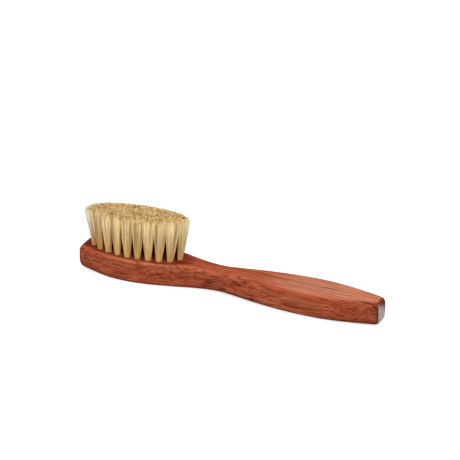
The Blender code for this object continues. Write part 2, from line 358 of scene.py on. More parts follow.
@dataclass(frozen=True)
class RedHardwood:
    """Oiled, open-pored red hardwood, dull and dark among its tufts, with pale end grain on the sawn tail.

    The tail and the top are the block's ends along X and Z, and the tufts' field is an oval in the plan. Its
    darkness among the tufts is painted shade, its light line along the head's top edges a painted highlight,
    the lighter top of its grip a painted sheen under a real coat, and its pale sawn tail pale end grain with
    a painted reflection. A span is where a smooth step starts and ends. Those named for normals are over a
    part of the normal or its square, those that end in _in over the way in from the tail, the tufted oval's
    over the square of the share of the field's oval, and the others over a length. The lines' own span is
    over the square of their noise's distance from its middle.
    """

    tail: float
    top: float
    field_middle: Vector
    field_half: Vector

    flesh: Colour = (0.530, 0.113, 0.046)
    pale: Colour = (0.650, 0.180, 0.077)
    # painted highlight: lighter wood for the light line on the head's rounded top edges and the sheen on the
    # grip's top
    painted_highlight: Colour = (0.760, 0.265, 0.120)
    dark: Colour = (0.270, 0.046, 0.022)
    pore: Colour = (0.080, 0.013, 0.008)
    end_dark: Colour = (0.200, 0.050, 0.030)
    # pale end grain of the sawn tail, made paler by a painted reflection of the white table
    end_face: Colour = (0.860, 0.720, 0.730)
    field_shade: Colour = (0.520, 0.400, 0.480)
    side_shade: Colour = (0.795, 0.780, 0.810)
    tail_shade: Colour = (0.900, 0.880, 0.880)
    under_shade: Colour = (0.620, 0.520, 0.480)

    bands: Figure = Figure((52.0 * MM, 3.4 * MM, 2.6 * MM), (0.34, 0.66))
    streaks: Figure = Figure((24.0 * MM, 0.85 * MM, 0.75 * MM), (0.44, 0.72), 0.72)
    fibres: Figure = Figure((14.0 * MM, 0.40 * MM, 0.40 * MM), (0.48, 0.72), 0.46)
    lines: Figure = Figure((80.0 * MM, 1.5 * MM, 1.7 * MM), (0.0, 0.0020), 0.72, detail=1.0)
    dashes: Figure = Figure((24.0 * MM, 0.95 * MM, 0.80 * MM), (0.61, 0.66), detail=1.0)
    flecks: Figure = Figure((6.5 * MM, 0.66 * MM, 0.56 * MM), (0.58, 0.66))
    swirls: Figure = Figure((3.2 * MM, 2.4 * MM, 1.7 * MM), (0.50, 0.64), 0.7)
    mottle: Figure = Figure((1.3 * MM, 1.3 * MM, 1.8 * MM), (0.40, 0.70), 0.40)
    wander: Figure = Figure((34.0 * MM, 14.0 * MM, 14.0 * MM), detail=1.0, roughness=0.5)
    wander_by: float = 1.0 * MM
    knot: Knot = Knot()

    flat_normals: Span = (0.45, 0.95)
    level_normals: Span = (0.90, 0.995)
    under_normals: Span = (0.10, 0.80)
    sawn_normals: Span = (0.25, 0.95)
    # where the painted highlight lies on the head's top edges, by normal and by length
    edge_normals: Span = (0.25, 0.55)
    past_edge_normals: Span = (0.80, 0.96)
    edge_from: Span = (-72.0 * MM, -48.0 * MM)
    edge_to: Span = (-12.0 * MM, 8.0 * MM)
    # the grip's top from here on carries its coat and a painted sheen
    gloss_from: Span = (12.0 * MM, 46.0 * MM)
    tufted_oval: Span = (0.95, 1.45)
    tailward_in: Span = (38.0 * MM, 8.0 * MM)
    swirling_in: Span = (11.0 * MM, 3.0 * MM)
    sawn_in: Span = (1.3 * MM, 0.5 * MM)
    # where the tail's pale end grain and its painted reflection lie on the sawn flat
    pale_end_half_width: Span = (3.8 * MM, 4.4 * MM)
    pale_end_height_share: float = 0.71
    pale_end_fade: Span = (-2.6 * MM, 2.4 * MM)
    pale_end_slant: float = 0.44

    # how strongly the painted sheen lightens the grip's top
    painted_sheen_share: float = 0.65
    # how strongly the painted highlight shows on the head's top edges
    edge_share: float = 0.72
    fleck_share: float = 0.7
    fleck_share_lost: float = 0.5
    pore_share: float = 0.74
    pore_share_lost: float = 0.30
    pore_depth: float = 0.07 * MM
    streak_depth_share: float = 0.4
    relief: float = 0.6
    roughness: float = 0.46
    pore_roughness: float = 0.20
    fibre_roughness: float = 0.10
    coat_share: float = 0.26
    coat_roughness: float = 0.34

    def near_tail(self, graph: NodeGraph, along: Signal, inset: Span) -> Signal:
        """Return a step towards the tail, whose start and end are measured in from it."""
        return graph.step(along, *(self.tail - way for way in inset))

    def masks(self, graph: NodeGraph, place: bpy.types.NodeSocket) -> WoodMasks:
        """Find where each change of the finish shows.

        Args:
            graph: The wood's graph.
            place: The Object coordinates.

        Returns:
            One mask for each change.
        """
        along, across, height = graph.axes(place)
        normal = graph.axes(graph.node("ShaderNodeNewGeometry", {}, {}).outputs["Normal"])
        level = graph.step(normal[2], *self.level_normals)
        # painted highlight: a light line where the head's rounded top edges turn from up to sideways
        edge = graph.step(normal[2], *self.edge_normals)
        edge = edge * (1.0 - graph.step(normal[2], *self.past_edge_normals))
        edge = edge * graph.step(along, *self.edge_from) * (1.0 - graph.step(along, *self.edge_to))
        lengthwise = (along - self.field_middle.x) * (1.0 / self.field_half.x)
        crosswise = (across - self.field_middle.y) * (1.0 / self.field_half.y)
        oval = lengthwise * lengthwise + crosswise * crosswise
        sawn = self.near_tail(graph, along, self.sawn_in)
        sawn = sawn * graph.step(normal[0] * normal[0], *self.sawn_normals)
        # pale end grain with a painted reflection: the inner, lower part of the sawn tail's flat
        inner = 1.0 - graph.step((across * across) ** 0.5, *self.pale_end_half_width)
        pale_end_height = self.top * self.pale_end_height_share
        slanting = height + self.pale_end_slant * across
        lower = 1.0 - graph.step(slanting, *(pale_end_height + fade for fade in self.pale_end_fade))
        return WoodMasks(
            flat=graph.step(normal[2] * normal[2], *self.flat_normals),
            level=level,
            under=graph.step(0.0 - normal[2], *self.under_normals),
            # painted sheen on the grip's top, where its coat also lies
            glossed_and_painted_sheen=graph.step(along, *self.gloss_from) * level,
            edge=edge,
            tufted=1.0 - graph.step(oval, *self.tufted_oval),
            swirling=self.near_tail(graph, along, self.swirling_in),
            tailward=self.near_tail(graph, along, self.tailward_in) * (1.0 - level),
            sawn=sawn,
            pale_end_and_painted_reflection=sawn * inner * lower,
        )

    def grain(self, graph: NodeGraph, place: bpy.types.NodeSocket, flat: Signal) -> WoodGrain:
        """Lay the grain, which wanders a little across its own run.

        Args:
            graph: The wood's graph.
            place: The Object coordinates.
            flat: The mask of the top and the back, which show fewer flecks.

        Returns:
            The grain.
        """
        wave = graph.noise(place, self.wander).outputs["Color"]
        centred = graph.vector_math("SUBTRACT", wave, (MIDDLE, MIDDLE, MIDDLE))
        aside = (0.0, self.wander_by, self.wander_by)
        wandering = graph.vector_math("MULTIPLY_ADD", centred, aside, place)
        dashes = graph.shown(graph.pattern(wandering, self.dashes), self.dashes)
        flecks = graph.shown(graph.pattern(wandering, self.flecks), self.flecks)
        return WoodGrain(
            place=wandering,
            streaks=graph.pattern(wandering, self.streaks),
            fibres=graph.pattern(wandering, self.fibres),
            pores=dashes.at_least(flecks * (self.fleck_share - self.fleck_share_lost * flat)),
        )

    def layers(
        self, graph: NodeGraph, place: bpy.types.NodeSocket, grain: WoodGrain, masks: WoodMasks
    ) -> list[tuple[Signal, Colour, str]]:
        """List the colours that lie over the plain flesh.

        Args:
            graph: The wood's graph.
            place: The Object coordinates.
            grain: The wood's grain.
            masks: Where each change shows.

        Returns:
            Each layer's share, colour and blend type, from the lowest to the highest.
        """
        bands = graph.shown(graph.pattern(grain.place, self.bands), self.bands)
        offset = graph.pattern(grain.place, self.lines) - MIDDLE
        lines = (1.0 - graph.step(offset * offset, *self.lines.span)) * self.lines.share
        swirls = graph.shown(graph.pattern(place, self.swirls), self.swirls)
        mottle = graph.shown(graph.pattern(place, self.mottle), self.mottle)
        rings = self.knot.rings(graph, grain.place, self.tail)
        # painted highlight on the head's top edges and painted sheen on the grip's top
        painted_highlight = (masks.glossed_and_painted_sheen * self.painted_sheen_share).at_least(masks.edge * self.edge_share)
        return [
            (bands, self.pale, "MIX"),
            (painted_highlight, self.painted_highlight, "MIX"),
            (graph.shown(grain.streaks, self.streaks), self.dark, "MIX"),
            (graph.shown(grain.fibres, self.fibres), self.dark, "MIX"),
            (lines, self.dark, "MIX"),
            (grain.pores * (self.pore_share - self.pore_share_lost * masks.level), self.pore, "MIX"),
            (swirls * masks.swirling * (1.0 - masks.flat), self.pore, "MIX"),
            (1.0 - masks.flat, self.side_shade, "MULTIPLY"),
            (masks.under, self.under_shade, "MULTIPLY"),
            (rings * (1.0 - masks.level), self.pore, "MIX"),
            (masks.tailward, self.tail_shade, "MULTIPLY"),
            (masks.tufted * masks.flat, self.field_shade, "MULTIPLY"),
            (masks.sawn, self.end_dark, "MIX"),
            # pale end grain lightened by a painted reflection
            (masks.pale_end_and_painted_reflection * (1.0 - mottle), self.end_face, "MIX"),
        ]

    def material(self) -> bpy.types.Material:
        """Build the wood's finish.

        Returns:
            The finished material.
        """
        made, graph = new_graph("oiled_red_hardwood")
        place = graph.object_place()
        masks = self.masks(graph, place)
        grain = self.grain(graph, place, masks.flat)
        colour = self.flesh
        for share, tone, blend in self.layers(graph, place, grain, masks):
            colour = graph.mixed(share, colour, tone, blend)
        height = 1.0 - grain.pores - self.streak_depth_share * grain.streaks
        bump = graph.node(
            "ShaderNodeBump", {}, {"Strength": self.relief, "Distance": self.pore_depth, "Height": height}
        )
        roughness = self.roughness + self.pore_roughness * grain.pores
        graph.surface(
            {
                "Base Color": colour,
                "Roughness": roughness + self.fibre_roughness * grain.fibres,
                "Specular IOR Level": 0.0,
                "Coat Weight": masks.glossed_and_painted_sheen * self.coat_share,
                "Coat Roughness": self.coat_roughness,
                "Normal": bump.outputs[0],
            }
        )
        return made


@dataclass(frozen=True)
class PaleBristle:
    """Natural bristle: straw with a golden root and a bleached tip, and no two strands alike.

    Two colour attributes describe a strand. The first holds its own tint in red, the share of its length
    in green, and whether it is a dark one in blue. The second holds its openness to the light in red, how
    far its tip is bleached in green, and how near it stands to a groove, where painted shade darkens its
    upper run, in blue. Spans are where a smooth step over a strand's run or its tint starts and ends.
    """

    straw: Colour = (0.990, 0.752, 0.332)
    gold: Colour = (0.440, 0.205, 0.040)
    bleached: Colour = (1.000, 0.940, 0.760)
    # darker cut tips: the cut ends' own colour and painted shade of the trimmed face's hollows
    cut: Colour = (0.600, 0.360, 0.120)
    # painted shade in the grooves between the rows, on the strands' upper run
    painted_groove_shade: Colour = (0.330, 0.160, 0.035)
    root: Colour = (0.800, 0.480, 0.165)
    brown: Colour = (0.110, 0.055, 0.028)
    shaded: Colour = (0.060, 0.008, 0.004)
    straw_tints: Span = (0.14, 0.66)
    past_root: Span = (0.10, 0.66)
    root_share: float = 0.72
    cut_run: Span = (0.90, 1.0)
    cut_share: float = 0.45
    cut_share_lost: float = 0.40
    groove_shade_run: Span = (0.70, 0.95)
    groove_shade_share: float = 0.85
    faded_tints: Span = (0.74, 0.90)
    faded_run: Span = (0.2, 0.7)
    faded_share: float = 0.45
    bleached_run: Span = (0.12, 0.80)
    past_shade: Span = (0.30, 0.80)
    brown_run: Span = (0.80, 0.95)
    roughness: float = 0.50
    tint_roughness: float = 0.12
    specular: float = 0.25
    strand_attribute: str = "strand"
    light_attribute: str = "light"

    @staticmethod
    def read(graph: NodeGraph, name: str) -> list[Signal]:
        """Return the three channels of a colour attribute."""
        return graph.axes(graph.node("ShaderNodeAttribute", {"attribute_name": name}, {}).outputs["Color"])

    def material(self) -> bpy.types.Material:
        """Build the bristle's finish.

        Returns:
            The finished material.
        """
        made, graph = new_graph("natural_bristle")
        tint, run, dark = self.read(graph, self.strand_attribute)
        openness, bleach, groove = self.read(graph, self.light_attribute)
        # cut tips darkened by their own colour and painted shade of the trimmed face's hollows
        cut = graph.step(run, *self.cut_run) * (1.0 - bleach)
        faded = graph.step(tint, *self.faded_tints) * graph.step(run, *self.faded_run) * self.faded_share
        layers = (
            (graph.step(tint, *self.straw_tints), self.straw),
            ((1.0 - graph.step(run, *self.past_root)) * self.root_share, self.root),
            (cut * (self.cut_share - self.cut_share_lost * tint), self.cut),
            # painted groove shade
            (graph.step(run, *self.groove_shade_run) * groove * self.groove_shade_share, self.painted_groove_shade),
            ((graph.step(run, *self.bleached_run) * bleach).at_least(faded), self.bleached),
            ((1.0 - graph.step(run, *self.past_shade)) * (1.0 - openness), self.shaded),
            (graph.step(run, *self.brown_run) * dark, self.brown),
        )
        colour = self.gold
        for share, tone in layers:
            colour = graph.mixed(share, colour, tone)
        roughness = self.roughness + self.tint_roughness * tint
        graph.surface({"Base Color": colour, "Roughness": roughness, "Specular IOR Level": self.specular})
        return made


@dataclass(frozen=True)
class AnchorSteel:
    """Bright drawn steel wire, dulled in patches."""

    steel: Colour = (0.52, 0.52, 0.54)
    dull: Colour = (0.36, 0.34, 0.33)
    patches: Figure = Figure((1.2 * MM, 1.2 * MM, 1.2 * MM), (0.4, 0.65), detail=2.0, roughness=0.5)
    roughness: float = 0.28
    dull_roughness: float = 0.2

    def material(self) -> bpy.types.Material:
        """Build the steel's finish.

        Returns:
            The finished material.
        """
        made, graph = new_graph("anchor_steel")
        dulled = graph.shown(graph.pattern(graph.object_place(), self.patches), self.patches)
        colour = graph.mixed(dulled, self.steel, self.dull)
        roughness = self.roughness + self.dull_roughness * dulled
        graph.surface({"Base Color": colour, "Metallic": 1.0, "Roughness": roughness})
        return made


def smooth_step(start: float, end: float, value: float) -> float:
    """Return a rise from 0 at start to 1 at end, level at both."""
    t = min(max((value - start) / (end - start), 0.0), 1.0)
    return t * t * (3.0 - 2.0 * t)


def scattered(rng: random.Random) -> Vector:
    """Return a random point of the square between -1 and 1."""
    return Vector((rng.uniform(-1.0, 1.0), rng.uniform(-1.0, 1.0)))


def bezier(start: Vector, leaving: Vector, meeting: Vector, end: Vector, steps: int) -> list[Vector]:
    """Follow a cubic Bezier.

    Args:
        start: Its first point.
        leaving: The handle that it leaves towards.
        meeting: The handle that it comes in from.
        end: Its last point.
        steps: How many points it is given.

    Returns:
        Its points, without the first one.
    """
    shares = [step / steps for step in range(1, steps + 1)]
    return [
        start * (1.0 - t) ** 3
        + leaving * 3.0 * t * (1.0 - t) ** 2
        + meeting * 3.0 * t * t * (1.0 - t)
        + end * t**3
        for t in shares
    ]


def dressed(name: str, bm: bmesh.types.BMesh, material: bpy.types.Material, *nodes: str) -> bpy.types.Object:
    """Make a piece that rides on the brush.

    Args:
        name: The piece's name.
        bm: Its shape, in the frame's own metres; it is freed here.
        material: Its finish.
        nodes: The CAD nodes that it stands for.

    Returns:
        The new object, at the origin.
    """
    mesh = bpy.data.meshes.new(name)
    bm.to_mesh(mesh)
    bm.free()
    mesh.materials.append(material)
    piece = bpy.data.objects.new(name, mesh)
    bpy.context.scene.collection.objects.link(piece)
    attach(piece, BODY)
    if nodes:
        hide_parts(*nodes)
    return piece


@dataclass
class HandleBlock:
    """The one-piece block: head, neck and grip, with rounded long edges, a sawn tail and blind holes.

    The head's places are measured from the toe, and the grip's widest place from the tail. Length, width and
    thickness come from the frame.
    """

    length: float
    head_width: float
    thickness: float
    places: list[Vector]
    shoulder_at: float = 5.0 * MM
    shoulder_width: float = 20.7 * MM
    shoulder_angle: float = math.radians(14.0)
    head_widest_at: float = 28.4 * MM
    neck_at: float = 79.4 * MM
    neck_width: float = 11.6 * MM
    grip_to_tail: float = 37.4 * MM
    grip_width: float = 22.9 * MM
    tail_width: float = 12.5 * MM
    toe_edge: float = 2.6 * MM
    toe_back_edge: float = 5.1 * MM
    head_edge: float = 1.5 * MM
    neck_edge: float = 4.2 * MM
    grip_edge: float = 2.6 * MM
    tail_edge: float = 4.2 * MM
    toe_round_run: float = 25.0 * MM
    tail_round: float = 2.0 * MM
    overrun: float = 2.0 * MM
    support: float = 0.25 * MM
    nose_shares: Span = (0.85, 0.92)
    side_shares: Span = (0.30, 0.35)
    waist_shares: Span = (0.40, 0.485)
    grip_shares: Span = (0.15, 0.575)
    waist_edge_share: float = 0.5
    tail_room_share: float = 2.0
    steps: tuple[int, int, int, int, int] = (18, 24, 40, 36, 28)
    edge_steps: int = 8
    tail_steps: int = 6
    hole_diameter: float = 3.8 * MM
    hole_depth: float = 8.0 * MM
    hole_sides: int = 24
    crease: float = math.radians(32.0)

    def half_outline(self) -> list[Vector]:
        """Draw the plan outline on the +Y side.

        Returns:
            Its points, from the toe's tip to just past the tail.
        """
        toe = Vector((0.0, 0.0))
        shoulder = Vector((self.shoulder_at, self.shoulder_width / 2))
        head = Vector((self.head_widest_at, self.head_width / 2))
        neck = Vector((self.neck_at, self.neck_width / 2))
        grip = Vector((self.length - self.grip_to_tail, self.grip_width / 2))
        heading = Vector((math.cos(self.shoulder_angle), math.sin(self.shoulder_angle)))
        nose, side, waist, hold, tail = self.steps

        nose_out = Vector((0.0, shoulder.y * self.nose_shares[0]))
        nose_in = shoulder - heading * shoulder.x * self.nose_shares[1]
        side_run = head.x - shoulder.x
        side_out = shoulder + heading * side_run * self.side_shares[0]
        side_in = head - Vector((side_run * self.side_shares[1], 0.0))
        points = [toe]
        points += bezier(toe, nose_out, nose_in, shoulder, nose)
        points += bezier(shoulder, side_out, side_in, head, side)
        for start, end, shares, count in (
            (head, neck, self.waist_shares, waist),
            (neck, grip, self.grip_shares, hold),
        ):
            run = end.x - start.x
            leaving = start + Vector((run * shares[0], 0.0))
            meeting = end - Vector((run * shares[1], 0.0))
            points += bezier(start, leaving, meeting, end, count)

        turned = 2.0 * math.atan2((self.grip_width - self.tail_width) / 2, self.grip_to_tail)
        arc_radius = self.grip_to_tail / math.sin(turned)
        clear = turned * self.tail_room_share * self.tail_round / self.grip_to_tail
        turns = [(turned - clear) * step / tail for step in range(1, tail + 1)]
        turns.append(turned + clear)
        turns.append(turned + clear + (self.tail_edge + self.overrun) / arc_radius)
        points += [grip + Vector((math.sin(turn), math.cos(turn) - 1.0)) * arc_radius for turn in turns]
        return points

    def edge_radius(self, toe_edge: float, along: float) -> float:
        """Find the radius of a long edge.

        Args:
            toe_edge: Its radius at the toe.
            along: The distance from the toe.

        Returns:
            Its radius there.
        """
        waist_start = self.head_widest_at + (self.neck_at - self.head_widest_at) * self.waist_edge_share
        grip_at = self.length - self.grip_to_tail
        radius = toe_edge
        radius += (self.head_edge - toe_edge) * smooth_step(0.0, self.toe_round_run, along)
        radius += (self.neck_edge - self.head_edge) * smooth_step(waist_start, self.neck_at, along)
        radius += (self.grip_edge - self.neck_edge) * smooth_step(self.neck_at, grip_at, along)
        radius += (self.tail_edge - self.grip_edge) * smooth_step(grip_at, self.length, along)
        return radius

    def rings(self) -> list[list[Vector]]:
        """Lay closed rings of points round the block.

        Returns:
            The rings, from the back's flat up round both long edges to the top's flat.
        """
        side = self.half_outline()
        loop = side + [Vector((point.x, -point.y)) for point in reversed(side[1:])]
        outwards = []
        for index in range(len(loop)):
            along = loop[(index + 1) % len(loop)] - loop[index - 1]
            outwards.append(Vector((-along.y, along.x)).normalized())
        turns = [step / self.edge_steps * math.pi / 2 for step in range(self.edge_steps + 1)]
        rings = []
        for top, toe_edge in ((False, self.toe_back_edge), (True, self.toe_edge)):
            profile = [(1.0 - math.sin(turn), 1.0 - math.cos(turn), 0.0, 0.0) for turn in turns]
            profile.insert(0, (1.0, 0.0, self.support, 0.0))
            profile.append((0.0, 1.0, 0.0, self.support))
            for inset_share, rise_share, more_inset, more_rise in reversed(profile) if top else profile:
                ring = []
                for point, outward in zip(loop, outwards):
                    radius = self.edge_radius(toe_edge, point.x)
                    place = point - outward * (radius * inset_share + more_inset)
                    rise = radius * rise_share + more_rise
                    height = self.thickness - rise if top else rise
                    ring.append(Vector((place.x - self.length / 2, place.y, height)))
                rings.append(ring)
        return rings

    def shape(self) -> bmesh.types.BMesh:
        """Draw the block up from its back, ring by ring, then saw and ease the tail.

        Returns:
            The block's mesh, before it is drilled.
        """
        bm = bmesh.new()
        rings = self.rings()
        first = [bm.verts.new(point) for point in rings[0]]
        cap = bm.faces.new(first)
        for ring in rings[1:]:
            cap = bmesh.ops.extrude_discrete_faces(bm, faces=[cap])["faces"][0]
            for vertex, point in zip(cap.verts, ring):
                vertex.co = point
        bm.faces.new(first)
        bmesh.ops.recalc_face_normals(bm, faces=bm.faces)

        tail = Vector((self.length / 2, 0.0, 0.0))
        whole = list(bm.verts) + list(bm.edges) + list(bm.faces)
        along = Vector((1.0, 0.0, 0.0))
        cut = bmesh.ops.bisect_plane(bm, geom=whole, plane_co=tail, plane_no=along, clear_outer=True)
        rim = [part for part in cut["geom_cut"] if isinstance(part, bmesh.types.BMEdge)]
        bmesh.ops.edgeloop_fill(bm, edges=rim)
        bmesh.ops.bevel(
            bm,
            geom=rim,
            offset=self.tail_round,
            offset_type="OFFSET",
            segments=self.tail_steps,
            profile=0.5,
            affect="EDGES",
            clamp_overlap=True,
            material=-1,
        )
        bmesh.ops.recalc_face_normals(bm, faces=bm.faces)
        return bm

    def drills(self) -> bpy.types.Object:
        """Make the cutter of all blind holes.

        Returns:
            The cutter, which is removed once the block is drilled.
        """
        bm = bmesh.new()
        depth = self.hole_depth + self.overrun
        for place in self.places:
            middle = self.thickness - self.hole_depth + depth / 2
            bmesh.ops.create_cone(
                bm,
                cap_ends=True,
                segments=self.hole_sides,
                radius1=self.hole_diameter / 2,
                radius2=self.hole_diameter / 2,
                depth=depth,
                matrix=Matrix.Translation((place.x, place.y, middle)),
            )
        mesh = bpy.data.meshes.new("hole_drills")
        bm.to_mesh(mesh)
        bm.free()
        cutter = bpy.data.objects.new("hole_drills", mesh)
        bpy.context.scene.collection.objects.link(cutter)
        return cutter

    def build(self, material: bpy.types.Material) -> bpy.types.Object:
        """Build the block, drill it and stand it in for its CAD node.

        Args:
            material: The wood.

        Returns:
            The finished block.
        """
        piece = dressed("handle_wood", self.shape(), material, BLOCK_NODE)
        cutter = self.drills()
        cut = piece.modifiers.new("holes", "BOOLEAN")
        cut.operation = "DIFFERENCE"
        cut.solver = "EXACT"
        cut.object = cutter
        bpy.context.view_layer.update()
        drilled = bpy.data.meshes.new_from_object(piece.evaluated_get(bpy.context.evaluated_depsgraph_get()))
        piece.modifiers.clear()
        piece.data = drilled
        bpy.data.objects.remove(cutter)
        drilled.shade_smooth()
        drilled.set_sharp_from_angle(angle=self.crease)
        return piece


@dataclass
class BristleField:
    """All the tufts: where each one stands and leans, and the trimmed oval that their tips fill."""

    places: dict[Row, dict[str, Vector]]
    mouth: float
    trim_height: float = 22.2 * MM
    trim_angle: float = math.radians(3.0)
    rim_spread: Vector = Vector((3.70 * MM, 2.0 * MM))
    lean_share: float = 1.08
    row_overlap: float = 1.25 * MM
    weave: float = 0.30 * MM
    groove_side: float = 0.85 * MM
    groove_ends: Span = (0.40, 0.65)
    centre: Vector = field(init=False)
    half_size: Vector = field(init=False)
    parting: Vector = field(init=False)

    def __post_init__(self) -> None:
        """Measure the field: both ends of the inner oval hold a tuft, and so does the outer one's +X end."""
        inner = [place.x for place in self.places[Row.INNER].values()]
        self.centre = Vector(((min(inner) + max(inner)) / 2, 0.0))
        outer_half, inner_half = (
            Vector((max(self.tip(place).x for place in row) - self.centre.x, max(place.y for place in row)))
            for row in (self.places[Row.OUTER].values(), self.places[Row.INNER].values())
        )
        self.half_size = outer_half + self.rim_spread
        self.parting = (outer_half + inner_half) / 2

    def tip(self, place: Vector) -> Vector:
        """Return the middle of a tuft's tips, seen from above."""
        return place + Vector(((place.x - self.centre.x) * (self.lean_share - 1.0), 0.0))

    def oval_reach(self, start: Vector, direction: Vector, half_size: Vector) -> float:
        """Measure the way from a point to an oval round the field's middle.

        Args:
            start: The point.
            direction: The way, of length 1.
            half_size: The oval's half length and half width.

        Returns:
            The way out from inside, the way in from outside, or infinity where the oval is missed.
        """
        away = start - self.centre
        from_centre = Vector((away.x / half_size.x, away.y / half_size.y))
        heading = Vector((direction.x / half_size.x, direction.y / half_size.y))
        a = heading.dot(heading)
        b = from_centre.dot(heading)
        c = from_centre.dot(from_centre) - 1.0
        if c > 0.0 and (b > 0.0 or b * b < a * c):
            return math.inf
        root = math.sqrt(b * b - a * c)
        return (-b - root if c > 0.0 else -b + root) / a

    def reach(self, row: Row, tip: Vector, direction: Vector) -> float:
        """Measure how far a tuft spreads along a direction.

        It stops at the rim, or a little way into the next tuft of its own oval, the other oval's tufts, or
        the inner oval's other side.

        Args:
            row: The oval that the tuft stands in.
            tip: The middle of its tips.
            direction: The way, of length 1.

        Returns:
            The spread.
        """
        reach = self.oval_reach(tip, direction, self.half_size)
        reach = min(reach, self.oval_reach(tip, direction, self.parting) + self.weave)
        if row is Row.INNER and abs(tip.y) > self.weave and direction.y * tip.y < 0.0:
            reach = min(reach, abs(tip.y / direction.y) + self.weave)
        for other in self.places[row].values():
            gap = self.tip(other) - tip
            facing = direction.dot(gap.normalized()) if gap.length else 0.0
            if facing > 0.0:
                reach = min(reach, (gap.length + self.row_overlap) / 2 / facing)
        return reach

    def grooved(self, point: Vector) -> float:
        """Measure how near a tip lies to a lengthwise groove between the rows.

        Args:
            point: The tip, seen from above.

        Returns:
            0 clear of the grooves and at the oval's ends, and 1 in a groove.
        """
        away = point - self.centre
        reach = math.hypot(away.x / self.parting.x, away.y / self.parting.y)
        offset = min(abs(away.y), abs(reach - 1.0) * self.parting.y)
        near = 1.0 - smooth_step(0.0, self.groove_side, offset)
        return near * (1.0 - smooth_step(*self.groove_ends, self.endward(point)))

    def rimward(self, point: Vector) -> float:
        """Return how near a tip lies to the trimmed rim: 0 in the middle, 1 on the rim."""
        away = point - self.centre
        return math.hypot(away.x / self.half_size.x, away.y / self.half_size.y)

    def endward(self, point: Vector) -> float:
        """Return how near a tip lies to the oval's ends: 0 in the middle, 1 at either end."""
        return abs(point.x - self.centre.x) / self.half_size.x

    def toeward(self, point: Vector) -> float:
        """Return how near a tip lies to the oval's toe end: 0 in the middle, 1 at the toe's end."""
        return (self.centre.x - point.x) / self.half_size.x

    def height(self, point: Vector) -> float:
        """Return the height of the sloping trimmed face over a point."""
        return self.mouth + self.trim_height + (point.x - self.centre.x) * math.tan(self.trim_angle)


@dataclass
class Lock:
    """A lock of strands that lean together at their tips.

    The spot is its middle on the unit disc, and the tip its middle on the trimmed face. The drop is how far
    it stays below that face, and the bow which way it bends on its way up.
    """

    spot: Vector
    tip: Vector
    tint: float
    drop: float
    bow: Vector


@dataclass
class Strand:
    """One strand as it is laid out: its points, and what its colour depends on."""

    points: list[Vector]
    tint: float
    dark: float
    openness: float
    bleach: float
    groove: float


